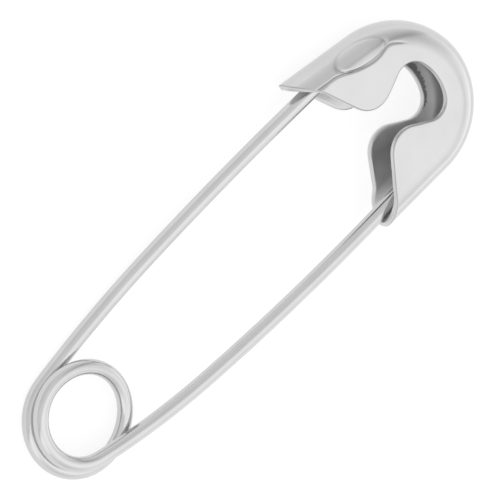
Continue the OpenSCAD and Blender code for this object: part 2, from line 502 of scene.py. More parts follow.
@dataclass(frozen=True)
class SpringWire:
    """The one spring wire: fixed arm, coil of a turn and a half, and pin arm.

    The coil goes from the upper turn down to the lower one in four pieces: front, down,
    under and back. The two turns lie layer_h above and below its middle. Each arm
    leaves it at its own angle and is made of two bows and a straight end.
    """

    wire_d: float = 2.0
    layer_h: float = 1.14
    turn_front_r: float = 6.0
    turn_down_r: float = 6.85
    turn_under_r: float = 6.75
    turn_back_r: float = 6.75
    turn_front_x: float = -0.72
    turn_front_y: float = 0.64
    fixed_leave: float = 8.7
    fixed_len_1: float = 21.3
    fixed_bend_1: float = 5.6
    fixed_len_2: float = 30.5
    fixed_bend_2: float = 3.3
    fixed_end: float = 5.5
    level_points: int = 18
    fixed_lift: float = 28.5
    pin_leave: float = 12.95
    pin_len_1: float = 18.1
    pin_bend_1: float = 9.0
    pin_len_2: float = 32.0
    pin_bend_2: float = 5.3
    pin_end: float = 4.5
    straight_points: int = 40
    join_step: float = 0.3
    line_step: float = 0.15
    line_rounding: float = 2.6
    taper_len: float = 7.0
    taper_power: float = 0.8
    taper_rings: int = 24
    point_d: float = 0.3
    least_r: float = 0.004
    sleeve: float = 0.012
    ring_step: float = 0.45
    ring_gap: float = 0.1
    ring_sides: int = 36
    end_round: float = 0.25
    end_rings: int = 6
    turning_width: float = 4.7

    @property
    def slope_a(self) -> float:
        """Return the tilt of the half turn that goes down, in degrees."""
        rise = 2 * self.layer_h / (self.turn_down_r + self.turn_under_r)
        return math.degrees(math.asin(rise))

    @property
    def slope_y(self) -> float:
        """Return how far across the middle of the tilted half turn lies."""
        flat = self.turn_down_r * math.cos(math.radians(self.slope_a))
        return self.turn_front_y + self.turn_front_r - flat

    @property
    def slope_z(self) -> float:
        """Return the height of the middle of the tilted half turn."""
        return self.layer_h - self.turn_down_r * math.sin(math.radians(self.slope_a))

    @property
    def under_x(self) -> float:
        """Return how far along the middle of the lower turn lies."""
        return self.turn_front_x + self.turn_down_r - self.turn_under_r

    @property
    def back_y(self) -> float:
        """Return how far across the middle of the lower turn lies."""
        flat = self.turn_under_r * math.cos(math.radians(self.slope_a))
        return self.slope_y - flat + self.turn_back_r

    @property
    def floor_z(self) -> float:
        """Return the lowest height of the coil."""
        return -self.layer_h - self.wire_d / 2 - self.sleeve

    def bow(self, length: float, bend: float) -> np.ndarray:
        """Return a bow that starts along x and bends toward minus y."""
        radius = length / math.radians(bend)
        return arc(radius, 90, -bend) - [0, radius, 0]

    def two_bows(self, near: tuple[float, float], far: tuple[float, float]) -> np.ndarray:
        """Join two bows end to end.

        Args:
            near: length and bend of the bow at the coil.
            far: length and bend of the bow at the head.

        Returns:
            Points from the coil on.
        """
        first, second = self.bow(*near), self.bow(*far)
        return np.vstack([first, turned(second, Axis.Z, -near[1])[1:] + first[-1]])

    def straight(
        self, start: np.ndarray, ahead: np.ndarray, length: float, count: int
    ) -> np.ndarray:
        """Go straight on from the end of a line.

        Args:
            start: the line's last point.
            ahead: the direction, of any length.
            length: how far the straight goes.
            count: how many points it has.

        Returns:
            The points after the last one.
        """
        return start + np.linspace(self.join_step, length, count)[:, None] * unit(ahead)

    def fixed_line(self) -> np.ndarray:
        """Draw the fixed arm's middle line.

        Returns:
            Points from the coil into the head.
        """
        root = self.turn_back_r * ray(90 + self.fixed_leave)
        line = self.two_bows(
            (self.fixed_len_1, self.fixed_bend_1), (self.fixed_len_2, self.fixed_bend_2)
        )
        line = turned(turned(line, Axis.X, -self.fixed_lift), Axis.Z, self.fixed_leave)
        line += [self.under_x + root[0], self.back_y + root[1], -self.layer_h]
        level = (line[-1] - line[-2]) * [1, 1, 0]
        end = self.straight(line[-1], level, self.fixed_end, self.level_points)
        return np.vstack([line, end])

    def pin_line(self) -> np.ndarray:
        """Draw the pin arm's middle line.

        Returns:
            Points from the coil to the sharp point.
        """
        root = self.turn_front_r * ray(270 - self.pin_leave)
        line = self.two_bows(
            (self.pin_len_1, self.pin_bend_1), (self.pin_len_2, self.pin_bend_2)
        )
        end = self.straight(
            line[-1], line[-1] - line[-2], self.pin_end + self.taper_len, self.straight_points
        )
        line = turned(np.vstack([line, end]) * [1, -1, 1], Axis.Z, -self.pin_leave)
        return line + [self.turn_front_x + root[0], self.turn_front_y + root[1], self.layer_h]

    def middle_line(self) -> np.ndarray:
        """Draw the whole wire's middle line.

        Returns:
            Evenly spaced points from the fixed arm's end to the sharp point.
        """
        tilt = self.slope_a
        lower = arc(self.turn_back_r, 90 + self.fixed_leave, 180 - self.fixed_leave)
        under = turned(arc(self.turn_under_r, -90, 90), Axis.X, tilt)
        down = turned(arc(self.turn_down_r, 0, 90), Axis.X, tilt)
        upper = arc(self.turn_front_r, 90, 180 - self.pin_leave)
        parts = [
            lower + [self.under_x, self.back_y, -self.layer_h],
            under + [self.under_x, self.slope_y, self.slope_z],
            down + [self.turn_front_x, self.slope_y, self.slope_z],
            upper + [self.turn_front_x, self.turn_front_y, self.layer_h],
            self.pin_line(),
        ]
        line = np.vstack([self.fixed_line()[::-1]] + [part[1:] for part in parts])
        length = run_length(line)[-1]
        even = respaced(line, np.linspace(0, length, round(length / self.line_step)))
        return softened(even, self.line_rounding)

    def ring_places(self, length: float) -> np.ndarray:
        """Choose where the rings lie: closer together at both ends of the wire.

        Args:
            length: the wire's whole length.

        Returns:
            Increasing distances from the fixed arm's end.
        """
        quarter = np.linspace(0, math.pi / 2, self.end_rings)
        start = self.end_round * (1 - np.cos(quarter))
        body = np.arange(self.ring_step, length - self.taper_len, self.ring_step)
        body = body[body > self.end_round + self.ring_gap]
        taper = np.linspace(length - self.taper_len, length - self.point_d / 2, self.taper_rings)
        tip = length - self.point_d / 2 * (1 - np.sin(quarter))
        return np.concatenate([start, body, taper, tip[1:]])

    def thickness(self, places: np.ndarray, length: float) -> np.ndarray:
        """Give the wire's radius along its length.

        Args:
            places: distances from the fixed arm's end.
            length: the wire's whole length.

        Returns:
            One radius for each place.
        """
        full, tip = self.wire_d / 2, self.point_d / 2
        left = length - places
        share = np.clip((left - tip) / (self.taper_len - tip), 0, 1)
        radius = tip + (full - tip) * np.sin(share * math.pi / 2) ** self.taper_power
        inside = np.clip(1 - left / tip, 0, 1)
        radius = np.where(left < tip, tip * np.sqrt(1 - inside**2), radius)
        cut = np.clip(1 - places / self.end_round, 0, 1)
        return np.maximum(radius - self.end_round * (1 - np.sqrt(1 - cut**2)), self.least_r)

    def carried(
        self, line: np.ndarray, places: np.ndarray
    ) -> tuple[np.ndarray, np.ndarray]:
        """Carry the round section along the line without twisting it.

        Args:
            line: the middle line.
            places: distances of the rings along it.

        Returns:
            Two directions across the wire for each ring.
        """
        steps = np.linspace(0, run_length(line)[-1], len(line))
        slope = np.gradient(line, axis=0)
        ahead = unit(np.stack([np.interp(places, steps, c) for c in slope.T], 1))
        side = np.zeros_like(ahead)
        side[0] = unit(np.cross([0, 0, 1], ahead[0]))
        for i in range(1, len(side)):
            side[i] = unit(side[i - 1] - ahead[i] * (side[i - 1] @ ahead[i]))
        return side, np.cross(ahead, side)

    def wire_faces(self, rings: int) -> list[tuple[int, ...]]:
        """Join the rings of the wire and close its two ends.

        Args:
            rings: number of rings.

        Returns:
            The faces of the closed mesh.
        """
        m = self.ring_sides
        faces = [
            (i * m + j, i * m + (j + 1) % m, (i + 1) * m + (j + 1) % m, (i + 1) * m + j)
            for i in range(rings - 1)
            for j in range(m)
        ]
        return faces + [tuple(range(m))[::-1], tuple((rings - 1) * m + j for j in range(m))]

    def build(self, move: np.ndarray) -> bpy.types.Object:
        """Sweep a round section along the middle line.

        Args:
            move: the step from the coil's plan to the shared frame, in millimetres.

        Returns:
            The wire as one piece.
        """
        line = self.middle_line()
        length = run_length(line)[-1]
        places = self.ring_places(length)
        side, over = self.carried(line, places)
        angle = np.linspace(0, 2 * math.pi, self.ring_sides, endpoint=False)[None, :, None]
        radius = self.thickness(places, length)[:, None, None]
        ring = np.cos(angle) * side[:, None] + np.sin(angle) * over[:, None]
        points = (respaced(line, places)[:, None] + radius * ring).reshape(-1, 3)
        faces = self.wire_faces(len(places))
        along = np.repeat(places, self.ring_sides) * MM
        around = np.tile(np.abs(angle.ravel() - math.pi), len(places)) * self.wire_d / 2 * MM
        grain = np.stack([along, around, 0 * along, 0 * along], axis=1)
        piece = make_piece("spring_wire", (points + move) * MM, faces, grain)
        log.info("spring wire: %.1f mm long, %d faces", length, len(faces))
        return piece

    def carry(self, piece: bpy.types.Object, move: np.ndarray) -> None:
        """Bake the wire's place into its mesh and hide the imported wire parts.

        Args:
            piece: the wire.
            move: not used.
        """
        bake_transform(piece)
        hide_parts("fixed_arm", "spring_coil", "pin_arm")

    def dress(self, piece: bpy.types.Object) -> None:
        """Give the wire its polished finish."""
        piece.data.materials.append(NickelPlate("wire_nickel").make())


@dataclass(frozen=True)
class HeadOpening:
    """Edge of one sheet of the head: mouth, two lobes and the notch between them."""

    notch: tuple[float, float] = (56.25, 0.75)
    notch_r: float = 6.87
    corner_up_r: float = 2.69
    corner_low_r: float = 2.53
    corner_a: float = 22.3
    lobe_up: tuple[float, float] = (55.05, 6.9)
    lobe_up_r: float = 3.55
    lobe_low: tuple[float, float] = (54.9, -4.7)
    lobe_low_r: float = 3.5
    mouth_up_a: float = 64.0
    mouth_low_a: float = 57.0
    mouth_back_a: float = 62.0
    mouth_up_len: float = 5.7
    mouth_low_len: float = 4.1
    tip_up: tuple[float, float] = (46.3, 13.95)
    tip_low: tuple[float, float] = (46.3, -10.9)
    knee_low: tuple[float, float] = (48.6, -8.1)
    back_step: tuple[float, float] = (-0.2, -0.45)

    @staticmethod
    def touch(a: np.ndarray, b: np.ndarray, reach: float, side: int) -> float:
        """Find where a line that crosses between two circles touches the first.

        Args:
            a: middle of the first circle.
            b: middle of the second circle.
            reach: sum of their radii.
            side: on which side of the first circle the line lies, 1 or -1.

        Returns:
            The direction from a to the touching point, in degrees.
        """
        ahead = math.degrees(math.atan2(b[1] - a[1], b[0] - a[0]))
        return ahead + side * math.degrees(math.acos(reach / np.linalg.norm(b - a)))

    def edge(self, side: Side) -> np.ndarray:
        """Draw the edge in the plan.

        Args:
            side: which sheet.

        Returns:
            Points from the lower end of the mouth, round the notch, to its upper end.
        """
        is_back = side is Side.BACK
        step = np.array(self.back_step if is_back else (0.0, 0.0))
        slope = self.mouth_back_a if is_back else self.mouth_low_a
        up, low, notch = (np.array(p) + step for p in (self.lobe_up, self.lobe_low, self.notch))
        ra, rb = self.corner_low_r, self.corner_up_r
        corner_low = notch + (self.notch_r - ra) * ray(-self.corner_a)
        corner_up = notch + (self.notch_r - rb) * ray(self.corner_a)
        low_touch = self.touch(low, corner_low, self.lobe_low_r + ra, 1)
        up_touch = self.touch(up, corner_up, self.lobe_up_r + rb, -1)
        low_start, up_end = 90 + slope, 270 - self.mouth_up_a
        parts = [
            np.array([self.tip_low, self.knee_low]),
            low + self.lobe_low_r * ray(low_start) + self.mouth_low_len * ray(180 + slope),
            low + arc(self.lobe_low_r, low_start, low_touch - low_start)[:, :2],
            corner_low + arc(ra, low_touch - 180, 180 - self.corner_a - low_touch)[:, :2],
            notch + arc(self.notch_r, -self.corner_a, 2 * self.corner_a)[:, :2],
            corner_up + arc(rb, self.corner_a, up_touch + 180 - self.corner_a)[:, :2],
            up + arc(self.lobe_up_r, up_touch, up_end - 360 - up_touch)[:, :2],
            up + self.lobe_up_r * ray(up_end) + self.mouth_up_len * ray(180 - self.mouth_up_a),
            np.array([self.tip_up]),
        ]
        return np.vstack([np.atleast_2d(part) for part in parts])


@dataclass(frozen=True)
class RimPath:
    """Middle line of the rolled rim: lower side, nose, shoulder and flank."""

    start_x: float = 44.0
    nose: tuple[float, float] = (57.9, 0.06)
    nose_r: float = 7.28
    nose_turn: float = 16.0
    shoulder_r: float = 9.19
    flare: float = 9.0

    @property
    def shoulder(self) -> np.ndarray:
        """Return the middle of the shoulder curve."""
        return np.array(self.nose) - (self.shoulder_r - self.nose_r) * ray(self.nose_turn)

    @property
    def joints(self) -> tuple[float, float, float]:
        """Work out where the pieces of the line meet.

        Returns:
            Three distances along the line.
        """
        first = self.nose[0] - self.start_x
        second = first + self.nose_r * math.radians(90 + self.nose_turn)
        third = second + self.shoulder_r * math.radians(90 - self.flare - self.nose_turn)
        return first, second, third

    def place(self, along: np.ndarray) -> tuple[np.ndarray, np.ndarray]:
        """Give places on the line.

        Args:
            along: distances from the line's start.

        Returns:
            The points and the outward directions there.
        """
        first, second, third = self.joints
        on_nose = np.clip(along - first, 0, second - first) / self.nose_r
        on_shoulder = np.clip(along - second, 0, third - second) / self.shoulder_r
        angle = on_nose + on_shoulder - math.pi / 2
        out = np.stack([np.cos(angle), np.sin(angle)], -1)
        ahead = np.stack([-out[:, 1], out[:, 0]], -1)
        before = np.minimum(along - first, 0)[:, None] * ahead
        after = np.maximum(along - third, 0)[:, None] * ahead
        on_curve = (along < second)[:, None]
        middle = np.where(on_curve, np.array(self.nose), self.shoulder)
        radius = np.where(on_curve, self.nose_r, self.shoulder_r)
        return middle + radius * out + before + after, out

    def measure(self, plan: np.ndarray) -> np.ndarray:
        """Turn plan points into the rim's own coordinates.

        Args:
            plan: points in the plan.

        Returns:
            Distance along the line and distance outward from it, for each point.
        """
        first, second, third = self.joints
        nose, shoulder = plan - np.array(self.nose), plan - self.shoulder
        nose_a = np.arctan2(nose[:, 1], nose[:, 0])
        shoulder_a = np.arctan2(shoulder[:, 1], shoulder[:, 0])
        end_a = math.radians(90 - self.flare)
        turn = math.radians(self.nose_turn)
        out = ray(90 - self.flare)
        low = np.stack([first + nose[:, 0], -nose[:, 1] - self.nose_r], 1)
        on_nose = np.stack([
            first + self.nose_r * (nose_a + math.pi / 2),
            np.linalg.norm(nose, axis=1) - self.nose_r,
        ], 1)
        on_shoulder = np.stack([
            second + self.shoulder_r * (shoulder_a - turn),
            np.linalg.norm(shoulder, axis=1) - self.shoulder_r,
        ], 1)
        flank = np.stack([
            third + shoulder @ np.array([-out[1], out[0]]),
            shoulder @ out - self.shoulder_r,
        ], 1)
        is_low = ((nose[:, 0] <= 0) & (nose[:, 1] < 0))[:, None]
        is_nose = ((nose[:, 0] > 0) & (nose_a < turn))[:, None]
        is_shoulder = (shoulder_a < end_a)[:, None]
        upper = np.where(is_shoulder, on_shoulder, flank)
        return np.where(is_low, low, np.where(is_nose, on_nose, upper))


@dataclass(frozen=True)
class Crease:
    """Pressed line between the flat sheet and the channel of the fixed arm.

    The sheet stays nearly flat as far as the crease, where it is lower by droop, and it
    falls to the rim's rounding over slope_width on each side of the crease.
    """

    points: tuple[tuple[float, float], ...] = (
        (46.5, 11.6), (48.2, 11.2), (49.39, 10.98), (50.44, 10.81), (51.64, 10.7),
        (52.53, 10.46), (53.58, 9.9), (54.46, 9.39), (55.44, 8.99), (56.46, 8.66),
        (57.56, 8.42), (58.58, 8.37), (59.42, 8.55), (60.3, 8.75), (61.38, 8.1),
        (62.6, 6.96), (63.6, 5.7),
    )
    line_points: int = 240
    rounding: float = 6.0
    fade: tuple[float, float] = (60.6, 62.8)
    depth: float = 0.16
    half: float = 0.15
    droop: float = 0.05
    droop_limit: float = 1.2
    least_out: float = 0.3
    slope_width: float = 0.16

    def line(self, path: RimPath) -> np.ndarray:
        """Return the crease along and outward from the rim, with its strength.

        Args:
            path: the rim's middle line.

        Returns:
            Rows of distance along, distance outward and strength.
        """
        raw = np.array(self.points)
        places = np.linspace(0, run_length(raw)[-1], self.line_points)
        even = softened(respaced(raw, places), self.rounding)
        strength = 1 - eased(even[:, 0], *self.fade)
        rows = np.column_stack([path.measure(even), strength])
        return rows[np.argsort(rows[:, 0])]


@dataclass(frozen=True)
class BlankOval:
    """Blank pad beside the channel, with a pressed line round it.

    The pad and its line are deepest on the lower side, and upper_share as deep above.
    """

    middle: tuple[float, float] = (56.6, 10.25)
    half_long: float = 3.75
    half_wide: float = 1.35
    turn: float = -14.0
    sink: float = 0.04
    sink_edge: float = 0.25
    line_depth: float = 0.16
    line_half: float = 0.12
    upper_share: float = 0.3
    lower_from: tuple[float, float] = (-0.9, 0.5)

    def depth(self, plan: np.ndarray) -> tuple[np.ndarray, np.ndarray]:
        """Measure the pad at plan points.

        Args:
            plan: points in the plan.

        Returns:
            How deep the pad and its line lie there, and the share that the line has.
        """
        moved = plan - np.array(self.middle)
        ahead, across = ray(self.turn), ray(self.turn + 90)
        x, y = moved @ ahead / self.half_long, moved @ across / self.half_wide
        edge = (np.hypot(x, y) - 1) * self.half_wide
        inside = 1 - eased(edge, -self.sink_edge, 0.0)
        strength = self.upper_share + (1 - self.upper_share) * eased(-y, *self.lower_from)
        line = bump_at(edge, 0, self.line_half) * strength
        return self.sink * inside * strength + self.line_depth * line, line


@dataclass(frozen=True)
class InsideShade:
    """Painted shade on the head's inner surface: its flats more than its rounding."""

    back: float = 0.36
    back_fade: tuple[float, float] = (-0.2, 0.6)
    front: float = 0.44
    front_rise: tuple[float, float] = (1.0, 3.0)
    notch_start: tuple[float, float] = (15.0, 19.0)
    notch_end: tuple[float, float] = (34.6, 36.2)
    notch_shine: float = 0.85
    band_rise: tuple[float, float] = (-0.9, 0.1)
    band_fade: tuple[float, float] = (0.7, 1.5)
    border_place: tuple[float, float, float, float] = (17.0, 20.0, 26.0, 31.0)
    border_width: tuple[float, float, float, float] = (-0.6, 0.3, 0.7, 1.6)
    border_blur: float = 0.5

    def shares(
        self, along: np.ndarray, length: np.ndarray, quarter: float
    ) -> tuple[np.ndarray, np.ndarray]:
        """Tell how much painted shade each node has.

        Args:
            along: distances along the rim.
            length: lengths of sheet, negative on the back.
            quarter: length of sheet from the outermost line to the flat.

        Returns:
            Two shares for each node: the even painted shade, with a painted dark band along
            the bend of the nose, and the ragged border of painted shade at the notch.
        """
        bend = length + quarter
        at_notch = eased(along, *self.notch_start) * (1 - eased(along, *self.notch_end))
        back = self.back * (1 - eased(bend, *self.back_fade))
        even = back * (1 - self.notch_shine * at_notch)
        even += self.front * eased(length, *self.front_rise)
        band = eased(bend, *self.band_rise) * (1 - eased(bend, *self.band_fade))
        width = np.interp(along, self.border_place, self.border_width)
        edge = length - length[:, :1] - width
        border = 1 - eased(edge, -self.border_blur, self.border_blur)
        return np.maximum(even, band * at_notch), border * at_notch


@dataclass(frozen=True)
class ClaspHead:
    """Hollow head: one sheet rolled round its rim, open toward the arms.

    Rows of nodes cross the sheet every row_step along its edge, and every fine_step over
    fine_rows. They stay row_gap apart, except within end_zone of the first and the last.
    The front's nodes are close together beside the crease, over outer_width and
    inner_width or a share of what the row has there. Two ribs grip the fixed arm's end.
    """

    path: RimPath = field(default_factory=RimPath)
    opening: HeadOpening = field(default_factory=HeadOpening)
    crease: Crease = field(default_factory=Crease)
    oval: BlankOval = field(default_factory=BlankOval)
    painted_shading: InsideShade = field(default_factory=InsideShade)
    sheet_t: float = 0.8
    rim_r: float = 3.25
    top_y: float = 13.64
    proud: float = 0.02
    edge_step: float = 0.05
    edge_rounding: float = 5.0
    least_length: float = 0.02
    lip_r: float = 0.22
    lip_steps: int = 4
    lip_inset: int = 2
    row_step: float = 0.26
    row_gap: float = 0.06
    fine_rows: tuple[float, float] = (31.5, 44.8)
    fine_step: float = 0.08
    end_gap: float = 0.01
    end_zone: float = 0.4
    front_nodes: tuple[int, int, int] = (60, 28, 12)
    back_nodes: int = 26
    crease_limit: float = 0.72
    outer_width: float = 0.75
    outer_share: float = 0.4
    inner_width: float = 0.45
    inner_share: float = 0.5
    front_from: tuple[float, float] = (0.4, 1.2)
    line_shade: float = 0.5
    corner_shade: float = 0.85
    corner_rings: int = 2
    lip_shade: float = 0.47
    inside_rough: tuple[float, float] = (0.34, 0.48)
    # The inside finish's colours, far lighter than the outside's, are painted light on the inner
    # surface and the lips.
    inside_bright: tuple[float, float, float] = (0.97, 0.97, 0.97)
    inside_dull: tuple[float, float, float] = (0.84, 0.84, 0.84)
    grip_x: tuple[float, float] = (51.2, 54.7)
    grip_w: float = 1.6
    grip_gap: float = 0.04
    grip_edge: float = 0.15
    grip_from: float = 1.2

    @property
    def quarter(self) -> float:
        """Return the length of the sheet from the outermost line to the flat."""
        return self.rim_r * math.pi / 2

    def unrolled(self, out: np.ndarray) -> np.ndarray:
        """Return the length of sheet from the outermost line to a distance outward."""
        round_part = self.rim_r * np.arccos(np.clip(out / self.rim_r, 0, 1))
        return np.where(out > 0, round_part, self.quarter - out)

    def section(self, length: np.ndarray) -> tuple[np.ndarray, np.ndarray]:
        """Roll the sheet up again.

        Args:
            length: distances from the outermost line, negative on the back.

        Returns:
            Points and normals, each with a distance outward and a height.
        """
        angle = np.clip(length, -self.quarter, self.quarter) / self.rim_r
        normal = np.stack([np.cos(angle), np.sin(angle)], -1)
        beyond = np.maximum(np.abs(length) - self.quarter, 0)
        point = self.rim_r * normal
        point[..., 0] -= beyond
        return point, normal

    def edge_line(self, side: Side) -> np.ndarray:
        """Return one sheet's free edge, moved in by the width of its rounded lip.

        Args:
            side: which sheet.

        Returns:
            Rows of distance along the rim and length of sheet, from the lower end of
            the mouth to its upper end.
        """
        line = self.opening.edge(side)
        length = run_length(line)[-1]
        even = respaced(line, np.linspace(0, length, round(length / self.edge_step)))
        measured = self.path.measure(softened(even, self.edge_rounding))
        measured = measured[measured[:, 1] < self.rim_r]
        flat = np.column_stack([measured[:, 0], self.unrolled(measured[:, 1])])
        ahead = unit(np.gradient(flat, axis=0))
        inward = np.stack([ahead[:, 1], -ahead[:, 0]], 1)
        moved = flat + self.lip_r * inward
        return moved[moved[:, 1] > self.least_length]

    def rows(self, front: np.ndarray, back: np.ndarray) -> np.ndarray:
        """Choose the places along the rim where the sheet's rows lie.

        Args:
            front: the front's free edge.
            back: the back's free edge.

        Returns:
            Increasing distances along the rim.
        """
        length = run_length(front)
        even = np.interp(np.arange(0, length[-1], self.row_step), length, front[:, 0])
        fine = np.arange(*self.fine_rows, self.fine_step)
        low = max(front[:, 0].min(), back[:, 0].min())
        high = min(front[:, 0].max(), back[:, 0].max())
        places = np.sort(np.concatenate([even, fine]))
        places = places[(places > low + self.end_gap) & (places < high - self.end_gap)]
        kept = [low]
        for place in places:
            near_end = place < low + self.end_zone or place > high - self.end_zone
            if near_end or place - kept[-1] > self.row_gap:
                kept.append(place)
        return np.array(kept + [high])

    def node_lengths(self, front: float, back: float, crease: float) -> np.ndarray:
        """Choose the lengths of sheet at which one row has its nodes.

        Args:
            front: length of sheet to the front's edge.
            back: length of sheet to the back's edge.
            crease: length of sheet to the crease.

        Returns:
            Increasing lengths, negative on the back.
        """
        many, close, few = self.front_nodes
        middle = min(crease, self.crease_limit * front)
        outer = min(self.outer_width, self.outer_share * middle)
        inner = min(self.inner_width, self.inner_share * (front - middle))
        return np.concatenate([
            np.linspace(-back, 0, self.back_nodes, endpoint=False),
            np.linspace(0, middle - outer, many, endpoint=False),
            np.linspace(middle - outer, middle + inner, close, endpoint=False),
            np.linspace(middle + inner, front, few),
        ])

    def pressed(
        self, section: np.ndarray, plan: np.ndarray, crease: np.ndarray, strength: np.ndarray
    ) -> tuple[np.ndarray, np.ndarray, np.ndarray]:
        """Work out how the front's surface is raised and sunk.

        Args:
            section: distance outward and height of each node.
            plan: plan place of each node.
            crease: distance outward of the crease in each row.
            strength: strength of the crease in each row.

        Returns:
            How far each node moves up, how far it moves in along its normal, and how
            much painted shade it has.
        """
        out, height = section[..., 0], section[..., 1]
        is_front = eased(height, *self.front_from)
        at, power, press = crease[:, None], strength[:, None], self.crease
        share = np.clip(out / np.maximum(at, press.least_out), 0, press.droop_limit)
        flat = self.rim_r - press.droop * share**2
        inside = 1 - eased(out - at, -press.slope_width, press.slope_width)
        lift = np.where(out > 0, np.maximum(flat - height, 0), 0) * inside * power * is_front
        groove = bump_at(out, at, press.half) * power * is_front
        sunk, line = self.oval.depth(plan)
        # Painted shade: the crease's groove and the oval's pressed line are darkened in colour.
        tarnish = np.clip(groove + self.line_shade * line * is_front, 0, 1)
        return lift - press.depth * groove, sunk * is_front, tarnish

    def border(self, rows: int, nodes: int) -> np.ndarray:
        """Return the indices of a grid's border, once round."""
        grid = np.arange(rows * nodes).reshape(rows, nodes)
        return np.concatenate([grid[:, -1], grid[-1, -2::-1], grid[-2::-1, 0], grid[0, 1:-1]])

    def lips(
        self, edge: np.ndarray, normal: np.ndarray, inward: np.ndarray
    ) -> list[np.ndarray]:
        """Round the sheet's free edge.

        Args:
            edge: the outer surface's border, once round.
            normal: the surface's normals there.
            inward: points of the surface just inside the border.

        Returns:
            Rings of points from the outer surface to the inner one.
        """
        ahead = unit(np.roll(edge, -1, 0) - np.roll(edge, 1, 0))
        out = unit(np.cross(ahead, normal))
        out *= np.sign(np.sum(out * (edge - inward), axis=1, keepdims=True))
        rings = []
        corner = np.linspace(0, math.pi / 2, self.lip_steps + 1)
        for angle in corner[1:]:
            rings.append((math.sin(angle), 1 - math.cos(angle)))
        deep = self.sheet_t / self.lip_r
        rings += [(x, deep - y) for x, y in rings[::-1]]
        return [edge + self.lip_r * (x * out - y * normal) for x, y in rings]

    def gripped(self, inner: np.ndarray, grip: tuple[float, float, float]) -> np.ndarray:
        """Press the inner surface onto the end of the fixed arm.

        Args:
            inner: points of the inner surface.
            grip: how far across and how high the arm's end lies, and its radius.

        Returns:
            The points with the two ribs.
        """
        half, rim = self.grip_w / 2, self.grip_edge
        along = eased(inner[..., 0], self.grip_x[0], self.grip_x[0] + rim)
        along *= 1 - eased(inner[..., 0], self.grip_x[1] - rim, self.grip_x[1])
        across = 1 - eased(np.abs(inner[..., 1] - grip[0]), half - rim, half)
        high = inner[..., 2]
        aim = grip[1] + np.sign(high) * (grip[2] + self.grip_gap)
        share = along * across * (np.abs(high) > self.grip_from)
        pressed = inner.copy()
        pressed[..., 2] += share * (aim - high)
        return pressed

    def net(self) -> tuple[np.ndarray, np.ndarray, np.ndarray, np.ndarray]:
        """Lay a net of nodes over the unrolled sheet.

        Returns:
            The rows' distances along the rim, the lengths of sheet at the nodes of each
            row, and in each row the crease's distance outward and its strength.
        """
        front, back = self.edge_line(Side.FRONT), self.edge_line(Side.BACK)
        rows = self.rows(front, back)
        crease = self.crease.line(self.path)
        at = np.interp(rows, crease[:, 0], crease[:, 1])
        power = np.interp(rows, crease[:, 0], crease[:, 2], left=0)
        ends = [np.interp(rows, edge[:, 0], edge[:, 1]) for edge in (front, back)]
        lengths = [self.node_lengths(*row) for row in zip(*ends, self.unrolled(at))]
        return rows, np.stack(lengths), at, power

    def surfaces(
        self, rows: np.ndarray, lengths: np.ndarray, at: np.ndarray, power: np.ndarray
    ) -> tuple[np.ndarray, np.ndarray, np.ndarray, np.ndarray]:
        """Roll the net up, with the crease and the oval pressed into its outside.

        Args:
            rows: the rows' distances along the rim.
            lengths: lengths of sheet at the nodes.
            at: the crease's distance outward in each row.
            power: the crease's strength in each row.

        Returns:
            The outer surface, the inner one, their normals and the outside's painted shade.
        """
        point, normal = self.section(lengths)
        place, out = self.path.place(rows)
        plan = place[:, None] + point[..., :1] * out[:, None]
        outer = np.concatenate([plan, point[..., 1:]], -1)
        facing = np.concatenate([normal[..., :1] * out[:, None], normal[..., 1:]], -1)
        inner = outer - self.sheet_t * facing
        up, sunk, tarnish = self.pressed(point, plan, at, power)
        outer[..., 2] += up
        outer -= sunk[..., None] * facing
        return outer, inner, facing, tarnish

    def grain_and_shade(
        self, rows: np.ndarray, lengths: np.ndarray, tarnish: np.ndarray, loop: np.ndarray
    ) -> np.ndarray:
        """Give each point of the sheet its place in the grain and its painted shade.

        Args:
            rows: the rows' distances along the rim.
            lengths: lengths of sheet at the nodes.
            tarnish: how much painted shade the outside has at the nodes.
            loop: indices of the border.

        Returns:
            Four numbers for each point: outside, inside and the rings of the lip.
        """
        along = np.broadcast_to(rows[:, None], lengths.shape)
        outside = np.stack([along * MM, lengths * MM, tarnish, 0 * along], -1).reshape(-1, 4)
        shading_shares = self.painted_shading.shares(along, lengths, self.quarter)
        inside = np.stack([along * MM, lengths * MM, *shading_shares], -1).reshape(-1, 4)
        # Painted shade on the lip rings: a dark line at the corner rings, less over the rest.
        tones = [self.corner_shade] * self.corner_rings
        tones += [self.lip_shade] * (2 * self.lip_steps - self.corner_rings)
        lips = [outside[loop] * [1, 1, 0, 0] + [0, 0, tone, 0] for tone in tones]
        return np.vstack([outside, inside] + lips)

    def sheet(
        self, grip: tuple[float, float, float]
    ) -> tuple[np.ndarray, list[tuple[int, ...]], np.ndarray, int]:
        """Make the folded sheet as one closed mesh round z = 0.

        Args:
            grip: how far across and how high the fixed arm's end lies, and its radius.

        Returns:
            Points, faces, grain coordinates and the number of points outside, which
            come first.
        """
        rows, lengths, at, power = self.net()
        outer, inner, facing, tarnish = self.surfaces(rows, lengths, at, power)
        count, nodes = lengths.shape
        loop, inset = self.border(count, nodes), self.lip_inset
        row = np.clip(loop // nodes, inset, count - 1 - inset)
        within = row * nodes + np.clip(loop % nodes, inset, nodes - 1 - inset)
        outside, normals = outer.reshape(-1, 3), facing.reshape(-1, 3)
        rings = self.lips(outside[loop], normals[loop], outside[within])
        points = np.vstack([outside, self.gripped(inner, grip).reshape(-1, 3)] + rings)
        faces = self.sheet_faces(count, nodes, loop, len(rings))
        return points, faces, self.grain_and_shade(rows, lengths, tarnish, loop), len(outside)

